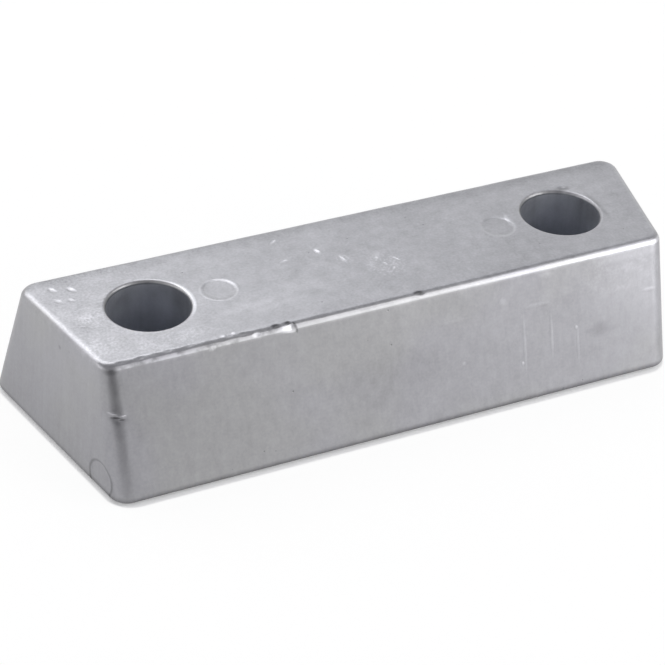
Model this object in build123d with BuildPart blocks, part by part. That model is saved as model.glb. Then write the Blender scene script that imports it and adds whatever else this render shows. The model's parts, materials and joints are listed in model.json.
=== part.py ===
# Bolt-on sacrificial anode: one cast bar with two counterbored bolt recesses.
# Millimetres. The mounting face lies on Z = 0 and the bar runs along X. The short long side
# faces -Y, the long one faces +Y. The origin is midway between the bolts.
import os
from math import radians, tan

from build123d import *

# casting
height = 30.0  # mounting face to top face
top_width = 34.5
base_width = 53.0
top_length = 140.6  # on the line of the bolts
base_length = 145.0  # on the line of the bolts
end_slant = 12.0  # degrees that each end is turned in plan, so that the back is the long side
top_corner_radius = 3.7
base_corner_radius = 4.6
top_edge_radius = 1.8
base_edge_radius = 1.1

# bolt recesses
bolt_spacing = 100.0
bolt_hole_radius = 4.5  # clears an M8 bolt
recess_radius = 9.0  # takes the bolt's head and a socket
recess_depth = 18.0
recess_lip_radius = 0.75

# round marks that the ejector pins leave in the top face, one on each side of each recess
pin_mark_radius = 3.9
pin_mark_depth = 0.12
inner_pin_offset = 16.1  # from the bolt, towards the middle
outer_pin_offset = 13.1  # from the bolt, towards the end


def plan_outline(sketch, length, width, corner_radius):
    """A trapezoid of the given length on its centre line, with round corners."""
    back_length = length + width * tan(radians(end_slant))
    Trapezoid(back_length, width, 90 - end_slant, rotation=180)
    fillet(sketch.vertices(), corner_radius)


with BuildPart() as anode_bar:
    # drafted block: the two plans are joined by flat sides and tapering corners
    with BuildSketch(Plane.XY) as base_plan:
        plan_outline(base_plan, base_length, base_width, base_corner_radius)
    with BuildSketch(Plane.XY.offset(height)) as top_plan:
        plan_outline(top_plan, top_length, top_width, top_corner_radius)
    loft(ruled=True)
    fillet(anode_bar.faces().sort_by(Axis.Z)[-1].edges(), top_edge_radius)
    fillet(anode_bar.faces().sort_by(Axis.Z)[0].edges(), base_edge_radius)

    # recess for each bolt's head, over a hole right through the mounting face
    with Locations(Plane.XY.offset(height)):
        with GridLocations(bolt_spacing, 0, 2, 1):
            CounterBoreHole(bolt_hole_radius, recess_radius, recess_depth)
    recess_lips = anode_bar.faces().sort_by(Axis.Z)[-1].inner_wires().edges()
    fillet(recess_lips, recess_lip_radius)

    # ejector pin marks
    inner_pin_x = bolt_spacing / 2 - inner_pin_offset
    outer_pin_x = bolt_spacing / 2 + outer_pin_offset
    with BuildSketch(Plane.XY.offset(height)):
        for pin_x in (-outer_pin_x, -inner_pin_x, inner_pin_x, outer_pin_x):
            with Locations((pin_x, 0)):
                Circle(pin_mark_radius)
    extrude(amount=-pin_mark_depth, mode=Mode.SUBTRACT)

anode_bar.part.label = "anode_bar"
os.makedirs("parts", exist_ok=True)
export_step(anode_bar.part, "parts/anode_bar.step")
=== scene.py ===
# A cast bar anode on a pale round floor. Metres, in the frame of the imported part.
import json
import math

import bmesh
import bpy
import numpy as np
from mathutils import Matrix, Vector


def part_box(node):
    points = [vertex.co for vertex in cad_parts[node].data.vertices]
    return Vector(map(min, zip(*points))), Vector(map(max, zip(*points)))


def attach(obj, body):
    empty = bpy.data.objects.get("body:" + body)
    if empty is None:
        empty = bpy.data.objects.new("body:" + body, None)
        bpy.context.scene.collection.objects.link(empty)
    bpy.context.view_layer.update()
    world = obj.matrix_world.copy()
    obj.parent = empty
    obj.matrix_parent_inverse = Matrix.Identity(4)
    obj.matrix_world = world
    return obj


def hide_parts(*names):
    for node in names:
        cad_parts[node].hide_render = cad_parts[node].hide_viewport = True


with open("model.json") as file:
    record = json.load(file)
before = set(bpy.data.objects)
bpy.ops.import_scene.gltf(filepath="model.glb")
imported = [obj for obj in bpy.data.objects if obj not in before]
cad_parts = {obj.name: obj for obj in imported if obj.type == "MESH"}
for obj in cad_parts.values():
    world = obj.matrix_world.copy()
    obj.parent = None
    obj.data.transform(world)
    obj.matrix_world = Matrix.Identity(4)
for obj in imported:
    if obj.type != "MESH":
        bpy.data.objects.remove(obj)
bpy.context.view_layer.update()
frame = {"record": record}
mounts = {mount["name"]: mount for mount in frame["record"]["mounts"]}
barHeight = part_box("anode_bar")[1].z
boltX = mounts["bolts"]["dims"]["spacing_x_mm"] / 2000
print("frame loaded, bar height", round(barHeight, 4))


def blend(start, end, count):
    # count steps of a straight line from start to end, on a new last axis
    share = np.linspace(0.0, 1.0, count + 1)
    start, end = np.asarray(start, float), np.asarray(end, float)
    return start[..., None] * (1 - share) + end[..., None] * share


def spread(inner, outer, count, crowding):
    # straight lines from each inner point to its outer point, with the steps crowded towards the inner one
    share = np.linspace(0.0, 1.0, count + 1)[None, :, None] ** crowding
    return inner[:, None] * (1 - share) + outer[:, None] * share


def smoothStep(value, low, high):
    # 0 below low, 1 above high and the S curve 3q^2 - 2q^3 between
    share = np.clip((value - low) / (high - low), 0, 1)
    return share * share * (3 - 2 * share)


def gridQuads(rows, columns, closed):
    # corner numbers of the cells of a rows by columns grid, whose first axis may close on itself
    first = np.arange(rows if closed else rows - 1)
    second = np.arange(columns - 1)
    a = (first[:, None] * columns + second).ravel()
    b = (((first + 1) % rows)[:, None] * columns + second).ravel()
    return np.stack([a, b, b + 1, a + 1], axis=1)


weldDistance = 2e-6


def meshFromPanels(name, panels):
    # joins point grids of shape (rows, columns, 3) into one smooth mesh, and welds the points that they share
    corners, quads, start = [], [], 0
    for points, closed in panels:
        rows, columns = points.shape[:2]
        corners.append(points.reshape(-1, 3))
        quads.append(gridQuads(rows, columns, closed) + start)
        start += rows * columns
    corners, quads = np.concatenate(corners), np.concatenate(quads)
    mesh = bpy.data.meshes.new(name)
    mesh.vertices.add(len(corners))
    mesh.vertices.foreach_set("co", corners.astype(np.float32).ravel())
    mesh.loops.add(quads.size)
    mesh.loops.foreach_set("vertex_index", quads.ravel().astype(np.int32))
    mesh.polygons.add(len(quads))
    mesh.polygons.foreach_set("loop_start", np.arange(0, quads.size, 4, dtype=np.int32))
    mesh.update(calc_edges=True)
    welded = bmesh.new()
    welded.from_mesh(mesh)
    bmesh.ops.remove_doubles(welded, verts=welded.verts, dist=weldDistance)
    bmesh.ops.recalc_face_normals(welded, faces=welded.faces)
    welded.to_mesh(mesh)
    welded.free()
    mesh.polygons.foreach_set("use_smooth", np.ones(len(mesh.polygons), bool))
    return mesh


def addObject(name, data):
    made = bpy.data.objects.new(name, data)
    bpy.context.scene.collection.objects.link(made)
    return made


casting = {
    "topWidth": 0.0345, "baseWidth": 0.053,
    "topLength": 0.1406, "baseLength": 0.145,  # on the line of the bolts
    "endSlant": math.radians(12.0),
    "topCorner": 0.0037, "baseCorner": 0.0046,
    "topEdge": 0.0018, "baseEdge": 0.0011,
    "recessRadius": mounts["left_recess"]["dims"]["r_mm"] / 1000,
    "boltRadius": mounts["bolts"]["dims"]["hole_r_mm"] / 1000,
    "recessDepth": 0.018, "lip": 0.00075,
    "middleReach": 0.039,  # the stretch between the bolts that is swept straight along X
    "middleColumns": 172, "acrossTop": 58, "sideRows": 44, "topEdgeRows": 9, "baseEdgeRows": 5,
    "flankColumns": 48, "cornerColumns": 9, "endColumns": 42,
    "capRows": 34, "wallRows": 14, "lipRows": 6, "floorRows": 5, "boltRows": 6, "baseRows": 9,
    "capCrowding": 1.35,
    "sharpAngle": math.radians(40),
}


def flankSection(topReach, baseReach):
    # Distance from the middle and height, from the top face down to the mounting face. The side
    # leans in a straight line. Each rounded edge is an arc whose centre stands one radius
    # inside both of the faces that it joins, and it turns from one face's normal to the other's.
    lean = math.atan2(baseReach - topReach, barHeight)
    slope, secant = math.tan(lean), 1 / math.cos(lean)
    top, base = casting["topEdge"], casting["baseEdge"]
    topTurn = blend(math.pi / 2, lean, casting["topEdgeRows"])
    baseTurn = blend(lean, -math.pi / 2, casting["baseEdgeRows"])
    topArc = [topReach + top * (slope - secant + np.cos(topTurn)), barHeight - top + top * np.sin(topTurn)]
    baseArc = [baseReach - base * (slope + secant - np.cos(baseTurn)), base + base * np.sin(baseTurn)]
    side = [blend(upper[-1], lower[0], casting["sideRows"])[1:-1] for upper, lower in zip(topArc, baseArc)]
    reach, height = (np.concatenate(parts) for parts in zip(topArc, side, baseArc))
    sharpReach = topReach + (barHeight - height) * slope
    return reach, height, sharpReach - reach


def endOutline(sideReach, sideHeight, endReach, endHeight, corner):
    # One row of points round the left end for each height: the front flank, a corner arc, the
    # slanted end, a corner arc and the back flank. Each corner's centre stands one corner radius
    # inside both of the sides that it joins. Heights pass from the flank's to the end's along the arcs.
    slant = casting["endSlant"]
    rows = len(sideReach)
    middle = np.full(rows, -casting["middleReach"])
    centreY = {side: side * (sideReach - corner) for side in (-1, 1)}
    centreX = {side: -(endReach + math.sin(slant) * y - corner) / math.cos(slant)
               for side, y in centreY.items()}
    endTurn = -(math.pi - slant)

    def arc(side, turn):
        x = centreX[side][:, None] + corner[:, None] * np.cos(turn)
        y = centreY[side][:, None] + corner[:, None] * np.sin(turn)
        return x, y

    flank, bend, end = casting["flankColumns"], casting["cornerColumns"], casting["endColumns"]
    frontX, frontY = arc(-1, blend(-math.pi / 2, endTurn, bend))
    backX, backY = arc(1, blend(endTurn, -1.5 * math.pi, bend))
    x = [blend(middle, centreX[-1], flank), frontX, blend(frontX[:, -1], backX[:, 0], end), backX,
         blend(centreX[1], middle, flank)]
    y = [blend(-sideReach, -sideReach, flank), frontY, blend(frontY[:, -1], backY[:, 0], end), backY,
         blend(sideReach, sideReach, flank)]
    z = [blend(sideHeight, sideHeight, flank), blend(sideHeight, endHeight, bend),
         blend(endHeight, endHeight, end), blend(endHeight, sideHeight, bend),
         blend(sideHeight, sideHeight, flank)]
    joined = []
    for parts in (x, y, z):
        later = [part[:, 1:] for part in parts[1:]]  # each starts on the last point of the one before
        joined.append(np.concatenate(parts[:1] + later, axis=1))
    return np.stack(joined, axis=-1).transpose(1, 0, 2)


def sweep(*axes):
    # one grid of points from its X, Y and Z, each a number or an array that numpy can stretch to the grid
    return np.stack(np.broadcast_arrays(*axes), axis=-1)


def castingPanels():
    # The corner radius tapers in a straight line from the mounting face to the top face, less the
    # amount by which the rounded edges stand inside the leaning side.
    slant = math.cos(casting["endSlant"])
    sideReach, sideHeight, inset = flankSection(casting["topWidth"] / 2, casting["baseWidth"] / 2)
    endReach, endHeight, _ = flankSection(casting["topLength"] / 2 * slant, casting["baseLength"] / 2 * slant)
    taper = (casting["topCorner"] - casting["baseCorner"]) * sideHeight / barHeight
    corner = casting["baseCorner"] + taper - inset
    panels = []

    # the middle: a sheet for the top, one for the base and one for each flank, all swept along X
    along = blend(-casting["middleReach"], casting["middleReach"], casting["middleColumns"])[:, None]
    for row, height in ((0, barHeight), (-1, 0.0)):
        across = blend(-sideReach[row], sideReach[row], casting["acrossTop"])
        panels.append((sweep(along, across, height), False))
    for side in (-1, 1):
        panels.append((sweep(along, side * sideReach, sideHeight), False))

    # the left end: its outside, and round the bolt's axis the top cap, the recess and the base cap
    outline = endOutline(sideReach, sideHeight, endReach, endHeight, corner)

    def closedLoop(row, height):
        # one row of the outline, closed along the seam with the middle
        across = blend(sideReach[row], -sideReach[row], casting["acrossTop"])[1:-1]
        return np.concatenate([outline[:, row], sweep(-casting["middleReach"], across, height)])

    rim, foot = closedLoop(0, barHeight), closedLoop(-1, 0.0)
    turn = np.arctan2(rim[:, 1], rim[:, 0] + boltX)[:, None]

    def ring(radius, height):
        # points round the bolt's axis, one for each point of the rim, at each radius and height
        return sweep(np.cos(turn) * radius - boltX, np.sin(turn) * radius, height)

    radius, lip, depth = casting["recessRadius"], casting["lip"], casting["recessDepth"]
    lipTurn = blend(math.pi / 2, math.pi, casting["lipRows"])
    lipRadius, lipHeight = radius + lip + lip * np.cos(lipTurn), barHeight - lip + lip * np.sin(lipTurn)
    floorHeight = barHeight - depth
    ends = [
        (outline, False),
        (spread(ring(radius + lip, barHeight)[:, 0], rim, casting["capRows"], casting["capCrowding"]), True),
        (ring(lipRadius, lipHeight), True),
        (ring(radius, blend(barHeight - lip, floorHeight, casting["wallRows"])), True),
        (ring(blend(radius, casting["boltRadius"], casting["floorRows"]), floorHeight), True),
        (ring(casting["boltRadius"], blend(floorHeight, 0.0, casting["boltRows"])), True),
        (spread(ring(casting["boltRadius"], 0.0)[:, 0], foot, casting["baseRows"], 1), True),
    ]
    for points, closed in ends:
        panels.append((points, closed))
        panels.append((points * (-1, 1, 1), closed))
    return panels


surface = {
    "seed": 11,
    "swell": [(0.000018, 0.030), (0.000010, 0.013), (0.000004, 0.0048)],  # rise and wave length
    "wavesEach": 7,
    "pinRadius": 0.0039, "pinEdge": 0.00022, "pinInner": boltX - 0.0161, "pinOuter": boltX + 0.0131,
    "pinInnerDepth": 0.00013, "pinOuterDepth": 0.00002,
    "topBand": 0.0001, "topFacing": 0.9,  # the pins sink only skin this near the top that faces up
    "endPin": (-0.0681, -0.0189, 0.0030), "endPinRadius": 0.00415,
    "stillBelow": 0.0002, "freeAbove": 0.0012,  # the mounting face stays flat
}
# Random nicks where the flash was broken off the front top edge, in millimetres and degrees.
edgeNicks = {
    "place": (-16.6, 30.0), "stray": 0.25,  # Y and Z where the top face meets its front radius
    "stretches": ((24, -64, -26, 0.15), (26, -22, 66, 0.05)),  # how many, from X, to X and deepest
    "long": (0.5, 1.5), "wide": (0.3, 0.5), "tall": 0.6, "turn": 15, "depthShare": (0.3, 1.0),
}
# Dents and ridges in millimetres and degrees: place, half sizes, turn about Z, depth (a ridge is below zero).
dents = [
    ((-8.5, 5.5, 30), (1.2, 0.4, 1), -75, 0.12),
    ((-16.2, 12.4, 30), (1.2, 0.45, 1), 35, 0.07),
    ((-16.9, 4.5, 30), (1.3, 0.4, 1), 7, 0.06),
    ((-5.0, 0.5, 30), (1.6, 0.5, 1), -80, 0.06),
    ((2.3, -1.4, 30), (0.8, 0.5, 1), 20, 0.05),
    ((3.3, -3.5, 30), (0.9, 0.5, 1), -60, 0.06),
    ((4.7, -4.0, 30), (1.3, 0.4, 1), -70, 0.06),
    ((2.5, -6.5, 30), (0.8, 0.6, 1), 0, 0.05),
    ((4.3, -6.3, 30), (0.7, 0.5, 1), 40, 0.05),
    ((-67.0, 12.3, 30), (1.3, 0.5, 1), -65, 0.10),
    ((-63.5, 11.3, 30), (1.4, 0.5, 1), -58, 0.10),
    ((-67.2, 8.0, 30), (1.0, 0.5, 1), -45, 0.05),
    ((-64.8, 7.3, 30), (0.9, 0.5, 1), -50, 0.05),
    ((55.4, 9.0, 29.8), (1.6, 1.1, 1), 0, 0.25),
    ((5.6, -16.9, 29.9), (1.1, 0.6, 0.6), 0, 0.20),
    ((-42.6, -17.5, 29.1), (0.6, 0.6, 0.6), 0, 0.16),
    ((-39.7, -15.9, 30), (0.6, 0.6, 0.6), 0, 0.10),
    ((-37.2, -15.8, 30), (0.6, 0.6, 0.6), 0, 0.10),
    ((-28.1, -16.5, 29.9), (1.0, 0.5, 0.6), 5, 0.20),
    ((-25.5, -16.4, 29.9), (0.8, 0.5, 0.6), 5, 0.18),
    ((-32.6, -17.2, 29.3), (1.4, 0.6, 0.6), 0, 0.12),
    ((-65.5, -19.4, 20.0), (1.7, 1.7, 0.55), 0, -0.17),
    ((-64.0, -20.6, 19.3), (1.7, 1.7, 0.55), 0, -0.17),
    ((-64.9, -20.0, 19.0), (1.8, 1.8, 0.75), 0, 0.26),
    ((-63.8, -20.8, 18.4), (1.4, 1.4, 0.60), 0, 0.20),
    ((29.7, -21.8, 14.0), (0.3, 6, 9.0), 0, -0.008),
    ((36.7, -22.0, 13.0), (0.3, 6, 5.5), 0, -0.008),
    ((43.4, -22.3, 12.0), (0.3, 6, 3.2), 0, -0.008),
]
# A flat chip off the rounded front top edge, deeper towards its right end, where it stops at a crack.
chip = {
    "start": -0.0288, "stop": -0.0242, "depth": 0.00022, "growth": 1.4, "tilt": math.radians(52),
    "edgeCentre": (-0.01592, 0.0282),  # Y and Z of the middle of the edge's radius
}


def ellipsoidDistance(points, place, halfSizes, turn):
    # distance from the middle of an ellipsoid turned about Z, in its own units: 1 on its skin
    offset = points - np.array(place) / 1000
    c, s = math.cos(math.radians(turn)), math.sin(math.radians(turn))
    own = [offset[:, 0] * c + offset[:, 1] * s, offset[:, 1] * c - offset[:, 0] * s, offset[:, 2]]
    return np.linalg.norm(np.stack(own, axis=1) / (np.array(halfSizes) / 1000), axis=1)


def edgeDents(rng):
    # the nicks are closer and deeper at the left
    y, z = edgeNicks["place"]
    stray, turn = edgeNicks["stray"], edgeNicks["turn"]
    made = []
    for count, start, stop, deepest in edgeNicks["stretches"]:
        for x in np.sort(rng.uniform(start, stop, count)):
            sizes = (rng.uniform(*edgeNicks["long"]), rng.uniform(*edgeNicks["wide"]), edgeNicks["tall"])
            place = (x, y + rng.uniform(-stray, stray), z)
            turned = rng.uniform(-turn, turn)
            made.append((place, sizes, turned, rng.uniform(*edgeNicks["depthShare"]) * deepest))
    return made


def swells(points, rng):
    # long shallow sums of sine waves, each along its own direction
    rise = np.zeros(len(points))
    for height, length in surface["swell"]:
        waves = rng.normal(size=(surface["wavesEach"], 3))
        waves *= 2 * math.pi / length / np.linalg.norm(waves, axis=1, keepdims=True)
        phases = rng.uniform(0, 2 * math.pi, surface["wavesEach"])
        rise += height * np.sin(points @ waves.T + phases).sum(axis=1) / math.sqrt(surface["wavesEach"])
    return rise


def pinSink(points, normals):
    # flat round marks with a soft edge: one each side of both bolts, and one low on the left end
    def disc(away, radius):
        return 1 - smoothStep(away, radius - surface["pinEdge"], radius + surface["pinEdge"])

    onTop = (points[:, 2] > barHeight - surface["topBand"]) & (normals[:, 2] > surface["topFacing"])
    sink = np.zeros(len(points))
    for pin, depth in (("pinInner", "pinInnerDepth"), ("pinOuter", "pinOuterDepth")):
        away = np.hypot(np.abs(points[:, 0]) - surface[pin], points[:, 1])
        sink += onTop * disc(away, surface["pinRadius"]) * surface[depth]
    away = np.linalg.norm(points - np.array(surface["endPin"]), axis=1)
    return sink + disc(away, surface["endPinRadius"]) * surface["pinInnerDepth"]


def cutChip(points):
    # moves what stands proud of a tilted plane back to it, between the two ends of the chip
    facing = np.array([0, -math.sin(chip["tilt"]), math.cos(chip["tilt"])])
    along = (points[:, 0] - chip["start"]) / (chip["stop"] - chip["start"])
    cut = casting["topEdge"] - chip["depth"] * np.clip(along, 0, 1) ** chip["growth"]
    proud = (points - np.array([0, *chip["edgeCentre"]])) @ facing - cut
    return points - np.where((along > 0) & (along < 1) & (proud > 0), proud, 0)[:, None] * facing


def weather(mesh):
    # Moves each point along its own normal: swells, sunk pin marks, and dents that are each a
    # smooth bowl (1 - q^2)^2 of their ellipsoid. The chip is cut last.
    rng = np.random.default_rng(surface["seed"])
    count = len(mesh.vertices)
    points, normals = np.empty(count * 3, np.float32), np.empty(count * 3, np.float32)
    mesh.vertices.foreach_get("co", points)
    mesh.vertex_normals.foreach_get("vector", normals)
    points, normals = points.reshape(-1, 3).astype(float), normals.reshape(-1, 3).astype(float)
    rise = swells(points, rng) - pinSink(points, normals)
    for place, halfSizes, turn, depth in dents + edgeDents(rng):
        distance = ellipsoidDistance(points, place, halfSizes, turn)
        rise -= depth / 1000 * np.clip(1 - distance ** 2, 0, None) ** 2
    rise *= smoothStep(points[:, 2], surface["stillBelow"], surface["freeAbove"])
    points = cutChip(points + normals * rise[:, None])
    mesh.vertices.foreach_set("co", points.astype(np.float32).ravel())
    mesh.update()


def buildCasting():
    mesh = meshFromPanels("anode_casting", castingPanels())
    weather(mesh)
    mesh.set_sharp_from_angle(angle=casting["sharpAngle"])
    print("casting meshed:", len(mesh.polygons), "cells")
    return addObject("anode_casting", mesh)


bar = buildCasting()
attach(bar, "root")
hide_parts("anode_bar")


class Signal:
    # an output socket: abs, and + - * ** with another signal or a number, each add a Math node

    def __init__(self, wiring, socket):
        self.wiring, self.socket = wiring, socket

    def maths(self, operation, first, second=0.0):
        # operations on one value, such as SIGN, leave the second unused
        return self.wiring.add("Math", {"operation": operation}, {0: first, 1: second})

    def __add__(self, other):
        return self.maths("ADD", self, other)

    def __sub__(self, other):
        return self.maths("SUBTRACT", self, other)

    def __rsub__(self, other):
        return self.maths("SUBTRACT", other, self)

    def __mul__(self, other):
        return self.maths("MULTIPLY", self, other)

    def __pow__(self, other):
        return self.maths("POWER", self, other)

    def __abs__(self):
        return self.maths("ABSOLUTE", self)

    def sign(self):
        return self.maths("SIGN", self)

    def aboveZero(self):
        return self.maths("MAXIMUM", self)

    __radd__, __rmul__ = __add__, __mul__


class Wiring:
    # adds nodes to the tree of a new material: settings come first, then the sockets' values and links

    def __init__(self, name):
        self.material = bpy.data.materials.new(name)
        self.material.use_nodes = True
        self.tree = self.material.node_tree

    def add(self, kind, settings, inputs, output=0):
        made = self.tree.nodes.new("ShaderNode" + kind)
        for name, value in settings.items():
            setattr(made, name, value)
        for name, value in inputs.items():
            if isinstance(value, Signal):
                self.tree.links.new(value.socket, made.inputs[name])
            else:
                made.inputs[name].default_value = value
        return made if output is None else Signal(self, made.outputs[output])

    def ramp(self, value, low, high):
        # 0 below low, 1 above high and an S curve between; low may be above high
        limits = {"Value": value, "From Min": low, "From Max": high}
        return self.add("MapRange", {"interpolation_type": "SMOOTHSTEP"}, limits)

    def noise(self, place, scale, detail):
        return self.add("TexNoise", {}, {"Vector": place, "Scale": scale, "Detail": detail})

    def mix(self, share, first, second):
        # a colour between two: sockets 0, 6 and 7 are the factor and the colours, and output 2 is the colour
        return self.add("Mix", {"data_type": "RGBA"}, {0: share, 6: first, 7: second}, 2)

    def parts(self, vector, axes):
        # the numbers along the named axes
        return [self.add("SeparateXYZ", {}, {0: vector}, axis) for axis in axes]

    def placeInMillimetres(self):
        metres = self.add("TexCoord", {}, {}, "Object")
        return self.add("VectorMath", {"operation": "SCALE"}, {0: metres, "Scale": 1000.0})


# Colours, gloss, heights and tones of the skin, with lengths in millimetres.
skin = {
    # the recess colour is raised to the top's, well above the side greys: painted light in the hollows
    "topColour": (0.474, 0.476, 0.501, 1), "recessColourWithPaintedLight": (0.452, 0.468, 0.512, 1),
    # the side greys are darker than the top: painted shade for the dimmer surroundings that the flanks and
    # ends mirror
    "shadedSideWarm": (0.340, 0.339, 0.347, 1), "shadedSideCool": (0.338, 0.336, 0.356, 1),
    "metallic": 0.9, "roughness": 0.39, "edgeRoughness": 0.31, "recessRoughness": 0.60, "patchiness": 0.12,
    # heights
    "grain": 0.012, "pebble": 0.018, "cloud": 0.030, "streak": 0.006, "pitDepth": 0.05, "ringHeight": 0.07,
    # how much each pattern changes the tone
    "grainTone": 0.34, "pebbleTone": 0.34, "cloudTone": 0.22, "streakTone": 0.16,
    "pitTone": 0.45, "ringTone": 0.16, "markAndPaintedLightTone": 0.5, "scuffTone": 0.22, "scuffVeil": 0.025,
    # how strong the grain is on the sides, how much coarser at the left and how much smoother on the edges
    "sideShare": 0.55, "coarse": 0.9, "edgeSmooth": 0.7, "streakStretch": (1.0, 1.0, 0.06),
    # how much each mask brightens or darkens
    "edgeWearAndHighlight": 0.42, "middleWearAndHighlight": 0.27, "footShade": 0.40, "tornHighlight": 0.70, "edgeShade": 0.13, "witnessDark": 0.32,
    "mouthShade": 0.32, "backLipShade": 0.28, "rimRightHighlight": 0.40, "rimNearHighlight": 0.13, "litWall": 0.36,
    "backStrip": 0.12, "farStrip": 0.06, "endShadeGain": 0.0087, "endShadeDrop": 0.12, "farFrontLight": 0.13,
    # pits, rings and the painted light on the upper back wall of a recess
    "pitCell": 2.6, "pitShare": 0.13, "pitFade": 0.01, "pitRadius": 0.30,
    "ringWidth": 0.70, "outerRing": 0.12, "rightRing": 0.45, "witnessWidth": 0.55, "rimInset": 0.05,
    "litWallAim": (0.45, 0.89),  # X and Y of its direction from the axis
}
# Scale per millimetre and detail of each noise.
patterns = {
    "grain": (1.7, 3), "pebble": (0.42, 4), "cloud": (0.075, 3), "streak": (0.9, 3), "drift": (0.03, 2),
}
# Each mask runs from 0 at the first value to 1 at the second. Low, High and Facing go by the upward
# part of the normal, and endFacing by the part along X. The others are places in millimetres, and
# Reach counts outwards from the edge of a mouth.
masks = {
    "topHeight": (29.3, 29.98), "topFacing": (0.8, 0.98),
    "mouthReach": (0.1, 0.0), "mouthHeight": (29.65, 29.2), "deep": (28.5, 22.0),
    "edgeLow": (0.36, 0.55), "edgeHigh": (0.995, 0.93), "edgeReach": (0.0, 0.4),
    "frontSide": (-13.5, -15.0), "frontHeight": (27.5, 28.2),
    "wearAndHighlightLow": (0.30, 0.37), "wearAndHighlightHigh": (0.83, 0.71), "middleWearAndHighlight": (15, -20), "wearAndHighlightLeft": (-30, -25),
    "torn": (-25.5, -29.0), "edgeShadeLow": (0.68, 0.80), "edgeShadeHigh": (0.99, 0.95),
    "tornHighlightLow": (0.30, 0.40), "tornHighlightHigh": (0.80, 0.70), "tornHighlightLeft": (-65.5, -61.5), "tornHighlightBroken": (0.30, 0.60),
    "foot": (2.0, 0.7), "endFacing": (0.75, 0.92), "coarse": (-30, -62),
    "lipReach": (-0.20, -0.50), "lipHeight": (29.0, 29.2), "lipBack": (-4.0, 2.0), "lipLeft": (6.0, 1.0),
    "rimRightHighlight": (6.4, 9.0), "rimNearHighlight": (0.0, -4.0), "rimWidth": (0.60, 0.15), "rimHeight": (29.0, 29.4),
    "leftHalf": (1.0, -1.0), "rightHalf": (-1, 1),
    "litWallAcross": (6.8, 8.9), "litWallUpper": (29.4, 29.0), "litWallLower": (19.0, 27.0),
    "farRight": (42.0, 70.0), "farFrontLight": (-15.0, -17.5), "farStrip": (-10, 60), "backStrip": (12.0, 16.2),
    "scuff": (1.0, 0.5), "scuffGrain": (0.90, 1.30), "mark": (1.0, 0.2), "drift": (0.40, 0.60),
}
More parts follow.
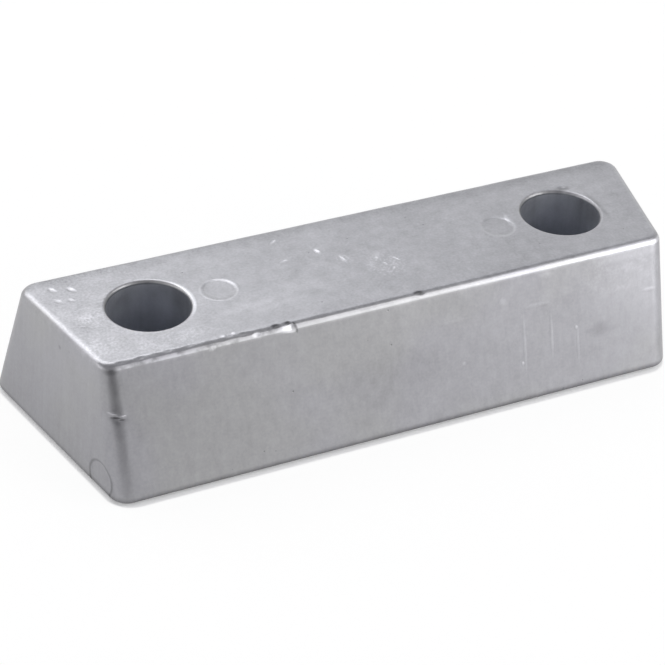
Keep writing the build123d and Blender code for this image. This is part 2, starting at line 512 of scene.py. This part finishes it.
# Fine marks in the skin, with painted highlights and painted shade at some of them, in millimetres and
# degrees: place, half sizes, turn about Z, height, whitening.
fineMarks = [
    ((-8.6, 5.6, 30), (1.4, 0.75, 1.5), -75, -0.12, 0.8),
    ((-16.2, 12.4, 30), (1.4, 0.7, 1.5), 35, -0.07, 0.5),
    ((-17.0, 4.7, 30), (1.5, 0.65, 1.5), 7, -0.06, 0.35),
    ((-4.6, 0.7, 30), (1.9, 0.8, 1.5), -80, -0.06, 0.35),
    ((2.3, -1.4, 30), (1.0, 0.6, 1.5), 20, -0.05, 0.2),
    ((6.4, -3.2, 30), (1.5, 0.5, 1.5), -60, -0.05, 0.2),
    ((3.3, -4.2, 30), (1.2, 0.6, 1.5), -60, -0.05, 0.25),
    ((4.3, -6.3, 30), (0.9, 0.6, 1.5), 40, -0.05, 0.2),
    ((-67.0, 12.4, 30), (1.5, 0.85, 1.5), -65, -0.10, 0.5),
    ((-63.1, 11.1, 30), (1.6, 0.85, 1.5), -62, -0.10, 0.5),
    ((-67.1, 8.0, 30), (1.2, 0.8, 1.5), -45, -0.06, 0.25),
    ((-64.4, 7.5, 30), (1.2, 0.8, 1.5), -50, -0.06, 0.25),
    ((-30.0, -8.0, 30), (11.0, 1.6, 1.5), 6, 0, 0.22),
    ((-24.0, -9.6, 30), (9.0, 1.3, 1.5), 9, 0, 0.14),
    # painted highlight on the top of the burr on the near corner
    ((-65.6, -19.4, 20.0), (1.2, 1.4, 0.32), 0, 0.10, 0.9),
    ((-63.9, -20.6, 19.3), (1.2, 1.4, 0.32), 0, 0.10, 0.9),
    # painted shadow under that burr
    ((-64.9, -20.0, 19.0), (1.5, 1.5, 0.50), 0, -0.10, -1.3),
    ((-63.9, -20.7, 18.5), (1.0, 1.2, 0.40), 0, -0.10, -1.0),
    ((37.3, 1.6, 30), (0.7, 3.6, 1.5), -8, 0.03, 0.5),
    ((30.0, -22.4, 13.2), (0.50, 6, 9.8), 0, 0.02, 0.16),
    ((36.9, -22.3, 13.5), (0.50, 6, 7.5), 0, 0.02, 0.18),
    ((43.5, -23.0, 10.6), (0.50, 6, 5.6), 0, 0.02, 0.12),
    ((49.3, -22.6, 12.7), (3.0, 4, 2.4), 0, 0, -0.28),
    ((46.6, -22.6, 12.8), (1.8, 4, 1.0), 0, 0, -0.16),
    ((52.6, -22.7, 12.2), (2.4, 4, 1.0), 0, 0, -0.14),
    ((42.0, -19.9, 21.0), (5.0, 4, 2.0), 0, 0, -0.10),
    ((43.2, -22.1, 14.3), (0.5, 3, 0.6), 0, 0.03, 0.5),
    ((29.3, -23.7, 9.1), (0.5, 3, 0.7), 0, 0.03, 0.5),
    ((14.7, -22.7, 12.4), (0.7, 3, 0.7), 0, 0.02, 0.2),
    ((12.0, -19.6, 22.2), (6.0, 3, 0.5), 0, 0.01, 0.06),
    ((36.0, -17.9, 27.4), (2.5, 3, 1.0), 0, 0.02, 0.12),
    ((25.1, -19.1, 23.8), (1.3, 3, 1.2), 0, 0.02, 0.22),
    ((33.6, -19.9, 21.4), (4.0, 3, 0.7), 0, 0.02, 0.14),
    # painted light across the right part of the front
    ((59.0, -20.0, 19.5), (18.0, 6, 13.0), 0, 0, 0.14),
    ((57.8, -19.0, 24.6), (2.2, 3, 2.4), 0, 0.02, 0.16),
    ((62.5, -20.7, 18.9), (2.4, 3, 0.6), 0, 0.02, 0.30),
    ((-70.3, -1.6, 25.6), (2, 0.7, 0.7), 0, -0.03, -0.5),
    ((-70.2, -5.2, 26.6), (2, 0.5, 0.5), 0, -0.02, -0.3),
    ((-23.9, -17.3, 29.0), (0.42, 1.8, 1.7), 22, 0, -1.5),
    # painted highlight on the chip's facet, partly fresh bright metal
    ((-25.9, -17.2, 29.2), (1.9, 0.9, 0.9), 0, 0, 0.9),
    # painted highlight on the front top edge between two nicks
    ((-32.5, -17.2, 29.2), (1.8, 0.9, 0.9), 0, 0.02, 1.0),
    # painted shade in three nicks along the front top edge
    ((-28.1, -16.5, 29.9), (1.4, 0.9, 1.0), 0, 0, -1.15),
    ((-25.3, -16.4, 29.9), (1.0, 0.8, 1.0), 0, 0, -1.1),
    ((5.2, -16.5, 29.9), (1.6, 0.8, 0.9), 0, 0, -1.1),
    # painted shade in the notch at the back of the right mouth
    ((55.6, 8.6, 29.6), (3.0, 1.35, 1.6), 0, 0, -0.9),
    # painted shade on the right mouth's right lip
    ((59.6, 0.0, 29.7), (1.3, 7.5, 1.0), 0, 0, -0.5),
    ((65.5, 2.2, 30), (2.6, 1.0, 1.5), 0, 0, -0.12),
    # painted highlight round the right front top corner and below the front top edge at the right
    ((68.6, -18.6, 27.6), (3.6, 3.6, 3.4), 0, 0, 0.45),
    ((58.0, -17.9, 27.7), (13.0, 2.0, 1.5), 0, 0, 0.30),
    # painted shade on the near corner just below the top edge
    ((-65.0, -17.3, 28.7), (2.4, 1.8, 1.1), 0, 0, -0.55),
    ((-16.3, -5.4, 30), (7.0, 3.5, 2), 0, 0, 0.16),
    ((-4.0, -22.5, 14.0), (24.0, 6, 9.5), 0, 0, -0.14),
    # painted light on the back wall of the left recess
    ((-44.0, 6.6, 22.0), (3.2, 4.0, 7.0), 0, 0, 0.20),
    # painted glints at three small dents on the front top edge
    ((-39.7, -15.9, 30), (0.9, 0.7, 1.0), 0, 0.06, 0.9),
    ((-37.2, -15.7, 30), (0.7, 0.8, 1.0), 0, 0.06, 0.9),
    ((-42.6, -17.6, 29.0), (1.0, 0.8, 0.8), 0, 0.08, 1.2),
]
# Scuffed patches, where the tops of the grain shine: place, half sizes and strength.
scuffs = [
    ((-63.1, 0.0, 30), (4.2, 4.2, 2), 0.9),
    ((-66.0, -9.5, 30), (7.0, 5.0, 2), 0.5),
    ((-49.0, -13.0, 30), (12.0, 3.0, 2), 0.5),
    ((3.6, -4.2, 30), (5.4, 5.4, 2), 0.8),
    ((-4.2, 0.6, 30), (2.6, 2.2, 2), 0.5),
    ((56.0, -19.0, 24.0), (14.0, 4.0, 6.5), 0.32),
]


def ellipsoidReach(wiring, place, centre, halfSizes, turn=0):
    # distance from the middle of a turned ellipsoid, in its own units: (place - centre) / halfSizes
    if turn:
        own = wiring.add("Mapping", {"vector_type": "TEXTURE"}, {
            "Vector": place, "Location": centre, "Rotation": (0, 0, math.radians(turn)), "Scale": halfSizes})
    else:
        scale = 1 / np.array(halfSizes, float)
        inputs = {0: place, 1: scale, 2: -scale * centre}
        own = wiring.add("VectorMath", {"operation": "MULTIPLY_ADD"}, inputs)
    return wiring.add("VectorMath", {"operation": "LENGTH"}, {0: own}, "Value")


def pinRings(wiring, within, x, y):
    # rings left by the ejector pins: clear ones inside the bolts, faint ones outside
    ring = 0.0
    for pinX, clear in ((surface["pinInner"], 1.0), (surface["pinOuter"], skin["outerRing"])):
        fromPin = ((abs(x) - pinX * 1000) ** 2 + y ** 2) ** 0.5
        ring = ring + wiring.ramp(abs(fromPin - surface["pinRadius"] * 1000), skin["ringWidth"], 0.0) * clear
    return ring * (1 - within("rightHalf", x) * (1 - skin["rightRing"]))


def skinPits(wiring, place):
    # a few cells of a Voronoi pattern hold a small bowl
    cells = wiring.add("TexVoronoi", {}, {"Vector": place, "Scale": 1 / skin["pitCell"]}, None)
    luck = wiring.parts(Signal(wiring, cells.outputs["Color"]), "X")[0]
    chosen = wiring.ramp(luck, skin["pitShare"] + skin["pitFade"], skin["pitShare"] - skin["pitFade"])
    away = Signal(wiring, cells.outputs["Distance"])
    return chosen * wiring.ramp(away, skin["pitRadius"] / skin["pitCell"], 0.0)


def castMaterial():
    wiring = Wiring("cast_aluminium")
    shader = wiring.tree.nodes["Principled BSDF"]
    place = wiring.placeInMillimetres()
    x, y, z = wiring.parts(place, "XYZ")
    sideways, upward = wiring.parts(wiring.add("NewGeometry", {}, {}, "Normal"), "XZ")

    def within(name, value):
        return wiring.ramp(value, *masks[name])

    # the top face, the recesses and the rounded edges
    bolt = boltX * 1000
    mouth = (casting["recessRadius"] + casting["lip"]) * 1000
    fromAxis = ((abs(x) - bolt) ** 2 + y ** 2) ** 0.5
    fromMouth = fromAxis - mouth
    fromBolt = x - x.sign() * bolt
    top = within("topHeight", z) * within("topFacing", upward)
    recess = within("mouthReach", fromMouth) * within("mouthHeight", z)
    deep = within("deep", z)
    edge = within("edgeLow", upward) * within("edgeHigh", upward) * within("edgeReach", fromMouth)

    # the front top edge has a painted highlight along the lower band of its radius, partly bright worn metal;
    # left of the chip its flash was torn off
    front = within("frontSide", y) * within("frontHeight", z)
    wearAndHighlight = within("wearAndHighlightLow", upward) * within("wearAndHighlightHigh", upward) * within("wearAndHighlightLeft", x) * front
    wearAndHighlight = wearAndHighlight * (within("middleWearAndHighlight", x) * skin["middleWearAndHighlight"] + skin["edgeWearAndHighlight"])
    torn = within("torn", x) * front
    # painted highlight, broken up, on the torn stretch of the edge left of the chip
    tornHighlight = within("tornHighlightLow", upward) * within("tornHighlightHigh", upward) * within("tornHighlightLeft", x) * torn
    # painted dark reflection along the upper band of the front top edge
    edgeShade = within("edgeShadeLow", upward) * within("edgeShadeHigh", upward) * front

    # painted shade darkens the back of each mouth's lip; a painted highlight brightens the left mouth's lip
    # at its right and near sides
    lip = within("lipReach", fromMouth) * within("lipHeight", z)
    backLipShade = lip * within("lipBack", y) * within("lipLeft", fromBolt)
    # painted highlight on the left mouth's lip
    rim = within("rimRightHighlight", fromBolt) * skin["rimRightHighlight"] + within("rimNearHighlight", y) * skin["rimNearHighlight"]
    rim = rim * within("rimWidth", abs(fromMouth + skin["rimInset"])) * within("rimHeight", z)
    rim = rim * within("leftHalf", x)
    # painted light on the upper back wall of each recess
    aimed = fromBolt * skin["litWallAim"][0] + y * skin["litWallAim"][1]
    litWall = recess * within("litWallAcross", aimed) * within("litWallUpper", z) * within("litWallLower", z)

    # painted shade low on the ends, painted light on the far part of the front, and a darker strip along the
    # back of the top face
    onEnd = within("endFacing", abs(sideways)) * (1 - recess)
    # painted light on the right of the front
    farFrontLight = within("farRight", x) * within("farFrontLight", y) * (1 - onEnd)
    strip = top * within("backStrip", y) * (within("farStrip", x) * skin["farStrip"] + skin["backStrip"])
    share = skin["sideShare"] + top * (1 - skin["sideShare"])
    coarse = 1 + within("coarse", x) * top * skin["coarse"]

    grain, pebble, cloud = (wiring.noise(place, *patterns[name]) for name in ("grain", "pebble", "cloud"))
    stretched = wiring.add("VectorMath", {"operation": "MULTIPLY"}, {0: place, 1: skin["streakStretch"]})
    streak = wiring.noise(stretched, *patterns["streak"]) * (1 - top)
    pit = skinPits(wiring, place)
    ring = pinRings(wiring, within, x, y) * top
    centre = [1000 * value for value in surface["endPin"]]
    fromWitness = wiring.add("VectorMath", {"operation": "DISTANCE"}, {0: place, 1: centre}, "Value")
    witness = wiring.ramp(abs(fromWitness - surface["endPinRadius"] * 1000), skin["witnessWidth"], 0.0)

    scuffed = 0.0
    for centre, halfSizes, strength in scuffs:
        scuffed = scuffed + within("scuff", ellipsoidReach(wiring, place, centre, halfSizes)) * strength
    raised, marksAndPaintedLight = 0.0, 0.0
    for centre, halfSizes, turn, height, tintAndPaintedLight in fineMarks:
        bowl = within("mark", ellipsoidReach(wiring, place, centre, halfSizes, turn))
        raised = raised + bowl * height if height else raised
        marksAndPaintedLight = marksAndPaintedLight + bowl * tintAndPaintedLight

    height = grain * coarse * (1 - edge * skin["edgeSmooth"]) * skin["grain"] + pebble * skin["pebble"]
    height = height * share + cloud * skin["cloud"] + streak * skin["streak"]
    height = height + ring * skin["ringHeight"] + raised - pit * skin["pitDepth"]
    bump = wiring.add("Bump", {}, {"Height": height, "Distance": 0.001, "Strength": 1.0})  # height 1 is 1 mm

    shade = (grain - 0.5) * coarse * skin["grainTone"] + (pebble - 0.5) * skin["pebbleTone"]
    shade = (shade + (cloud - 0.5) * skin["cloudTone"]) * share + (streak - 0.5) * skin["streakTone"]
    tone = 1 + shade - pit * skin["pitTone"] + ring * skin["ringTone"] + marksAndPaintedLight * skin["markAndPaintedLightTone"]
    tone = tone + scuffed * (within("scuffGrain", grain + pebble) * skin["scuffTone"] + skin["scuffVeil"])
    tone = tone + wearAndHighlight + tornHighlight * within("tornHighlightBroken", pebble) * skin["tornHighlight"] - edgeShade * skin["edgeShade"]
    # painted shade: each recess wall is darker near its mouth
    tone = tone + rim - backLipShade * skin["backLipShade"] - recess * (1 - deep) * skin["mouthShade"]
    tone = tone + litWall * skin["litWall"] + onEnd * (z * skin["endShadeGain"] - skin["endShadeDrop"])
    tone = tone + farFrontLight * skin["farFrontLight"] - strip
    # painted shade just above the mounting face
    tone = tone - within("foot", z) * skin["footShade"] - witness * skin["witnessDark"]
    drift = within("drift", wiring.noise(place, *patterns["drift"]))
    # painted shade: the flanks and ends take darker greys than the top; the drift between a warm and a cool
    # grey is random tone
    shadedSides = wiring.mix(drift, skin["shadedSideWarm"], skin["shadedSideCool"])
    # painted light: the recesses take their raised colour
    plain = wiring.mix(recess, wiring.mix(top, shadedSides, skin["topColour"]), skin["recessColourWithPaintedLight"])
    colour = wiring.add("VectorMath", {"operation": "SCALE"}, {0: plain, "Scale": tone})
    roughness = skin["roughness"] + (pebble - 0.5) * skin["patchiness"]
    roughness = roughness + edge * (skin["edgeRoughness"] - skin["roughness"])
    roughness = roughness + recess * (skin["recessRoughness"] - skin["roughness"])
    for name, signal in (("Base Color", colour), ("Roughness", roughness), ("Normal", bump)):
        wiring.tree.links.new(signal.socket, shader.inputs[name])
    shader.inputs["Metallic"].default_value = skin["metallic"]
    print("metal mixed:", len(wiring.tree.nodes), "nodes")
    return wiring.material


bar.data.materials.append(castMaterial())


stage = {
    "floorRadius": 1.1, "wallRise": 0.9, "bend": 0.35, "drop": 0.0004,
    "turns": 96, "rows": 40,
    "paper": (0.92, 0.92, 0.925, 1), "glow": 0.93, "contactReach": 0.55, "contactGlow": 0.25,
    "room": (0.52, 0.52, 0.54, 1),
}
# A dark card beside the near corner, seen only in reflections, gives that corner its edge.
card = {
    "azimuth": 252, "corner": (-0.066, -0.022), "width": 0.118,
    "footReach": 0.085, "footRise": 0.001, "headReach": 0.27, "headRise": 0.16,
    "colour": (0.03, 0.03, 0.035, 1), "roughness": 1.0,
}
# Soft boxes round the object: the side and height each stands at in degrees, its distance, its size
# and how bright its face is.
lamps = {
    "front_right": {"azimuth": 311, "elevation": 17, "distance": 0.9, "size": (0.285, 0.48), "radiance": 4.3},
    "front_fill": {"azimuth": 329, "elevation": 33, "distance": 0.9, "size": (0.54, 0.86), "radiance": 2.05},
    "back_right": {"azimuth": 48, "elevation": 24, "distance": 0.9, "size": (0.45, 0.40), "radiance": 0.1},
    "back": {"azimuth": 99, "elevation": 58, "distance": 0.9, "size": (0.68, 0.44), "radiance": 2.5},
    "back_low": {"azimuth": 112, "elevation": 30, "distance": 0.9, "size": (0.36, 0.36), "radiance": 0.7},
    "left_back": {"azimuth": 130, "elevation": 35, "distance": 0.9, "size": (0.32, 0.30), "radiance": 2.4},
    "left": {"azimuth": 172, "elevation": 28, "distance": 0.9, "size": (0.70, 0.48), "radiance": 0.8},
}


def buildStage():
    # a flat round floor whose rim bends up into a low wall: a profile turned about the Z axis
    flat = blend(0.0, stage["floorRadius"], stage["rows"])
    bendTurn = blend(-math.pi / 2, 0.0, stage["rows"])[1:]
    x = np.concatenate([flat, stage["floorRadius"] + stage["bend"] * np.cos(bendTurn)])
    z = np.concatenate([flat * 0, stage["bend"] * (1 + np.sin(bendTurn))])
    x, z = np.append(x, x[-1]), np.append(z, stage["wallRise"])
    turn = np.linspace(0, 2 * math.pi, stage["turns"], endpoint=False)[:, None]
    points = sweep(x * np.cos(turn), x * np.sin(turn), z - stage["drop"])
    floor = addObject("floor", meshFromPanels("floor", [(points, True)]))
    floor.data.materials.append(paperMaterial())
    print("floor built")


def buildLamp(name, lamp):
    # faces the origin; its power is its brightness times pi times its area
    azimuth, elevation = math.radians(lamp["azimuth"]), math.radians(lamp["elevation"])
    level = math.cos(elevation)
    away = Vector((math.cos(azimuth) * level, math.sin(azimuth) * level, math.sin(elevation)))
    data = bpy.data.lights.new(name, "AREA")
    data.shape, (data.size, data.size_y) = "RECTANGLE", lamp["size"]
    data.energy = lamp["radiance"] * math.pi * data.size * data.size_y
    turned = away.to_track_quat("Z", "Y").to_matrix().to_4x4()
    addObject(name, data).matrix_world = Matrix.Translation(away * lamp["distance"]) @ turned


def paperMaterial():
    # white paper: part lit, part glowing wherever it is seen straight, mirrored or through the holes
    wiring = Wiring("pale_paper")
    wiring.tree.nodes.clear()
    seen = 0.0
    for ray in ("Is Camera Ray", "Is Glossy Ray", "Is Transmission Ray"):
        seen = seen + wiring.add("LightPath", {}, {}, ray)

    # The paper glows less where it meets the foot: a painted contact shadow, beside the lit paper's own
    # shadow. The distance from the foot, in millimetres, is the longest side of a right triangle whose other
    # sides reach out past the foot's long side and past its end, both counted from an outline set in by the
    # corner radius.
    x, y = wiring.parts(wiring.placeInMillimetres(), "XY")
    slant, corner = casting["endSlant"], casting["baseCorner"] * 1000
    halfWidth, halfLength = (casting[name] / 2 * 1000 for name in ("baseWidth", "baseLength"))
    pastSide = abs(y) - halfWidth + corner
    pastEnd = (abs(x) - halfLength) * math.cos(slant) - y * math.sin(slant) + corner
    outside = (pastSide.aboveZero() ** 2 + pastEnd.aboveZero() ** 2) ** 0.5
    away = wiring.ramp(outside, corner, corner + stage["contactReach"])
    glowing = stage["glow"] * (stage["contactGlow"] + away * (1 - stage["contactGlow"]))
    lit = wiring.add("BsdfDiffuse", {}, {"Color": stage["paper"]})
    glow = wiring.add("Emission", {}, {"Color": (1, 1, 1, 1), "Strength": 1.0})
    both = wiring.add("MixShader", {}, {0: seen * glowing, 1: lit, 2: glow})
    wiring.add("OutputMaterial", {}, {"Surface": both}, None)
    return wiring.material


def buildCard():
    # a leaning sheet: straight lines from its foot, turned towards the bar's near corner, to its head
    azimuth = math.radians(card["azimuth"])
    away = np.array([math.cos(azimuth), math.sin(azimuth), 0])
    across = np.array([-away[1], away[0], 0]) * card["width"] / 2
    foot = np.array([*card["corner"], card["footRise"]]) + away * card["footReach"]
    head = np.array([*card["corner"], card["headRise"]]) + away * card["headReach"]
    points = np.array([[foot - across, foot + across], [head - across, head + across]])
    sheet = addObject("dark_card", meshFromPanels("dark_card", [(points, False)]))
    for way in ("camera", "diffuse", "transmission", "volume_scatter", "shadow"):
        setattr(sheet, "visible_" + way, False)
    felt = Wiring("dark_felt")
    shader = felt.tree.nodes["Principled BSDF"]
    shader.inputs["Base Color"].default_value = card["colour"]
    shader.inputs["Roughness"].default_value = card["roughness"]
    sheet.data.materials.append(felt.material)
    print("dark card stood up")


buildStage()
buildCard()
for name, lamp in lamps.items():
    buildLamp(name, lamp)
print("lamps hung:", len(lamps))

cameraSet = {
    "azimuth": -26.90, "elevation": 35.83, "roll": 3.09, "lens": 113.93, "sensor": 36.0,
    "distance": 0.46059, "right": -0.00659, "up": -0.01656,  # from the middle of the top face
    "clip": (0.01, 20),
}


def cameraAxes():
    # right, up and back of a camera turned round the Z axis, raised above the floor and then rolled
    azimuth, elevation, roll = (math.radians(cameraSet[name]) for name in ("azimuth", "elevation", "roll"))
    level = math.cos(elevation)
    back = Vector((math.sin(azimuth) * level, -math.cos(azimuth) * level, math.sin(elevation)))
    right = Vector((math.cos(azimuth), math.sin(azimuth), 0))
    up = back.cross(right)
    c, s = math.cos(roll), math.sin(roll)
    return right * c + up * s, up * c - right * s, back


def buildCamera():
    right, up, back = cameraAxes()
    data = bpy.data.cameras.new("camera")
    data.sensor_width, data.lens = cameraSet["sensor"], cameraSet["lens"]
    data.clip_start, data.clip_end = cameraSet["clip"]
    place = Vector((0, 0, barHeight)) + back * cameraSet["distance"]
    place += right * cameraSet["right"] + up * cameraSet["up"]
    camera = addObject("camera", data)
    camera.matrix_world = Matrix.Translation(place) @ Matrix((right, up, back)).transposed().to_4x4()
    bpy.context.scene.camera = camera
    print("camera placed")


buildCamera()
scene = bpy.context.scene
scene.view_settings.view_transform = "Standard"
scene.world = bpy.data.worlds.new("room")
scene.world.use_nodes = True
scene.world.node_tree.nodes["Background"].inputs["Color"].default_value = stage["room"]
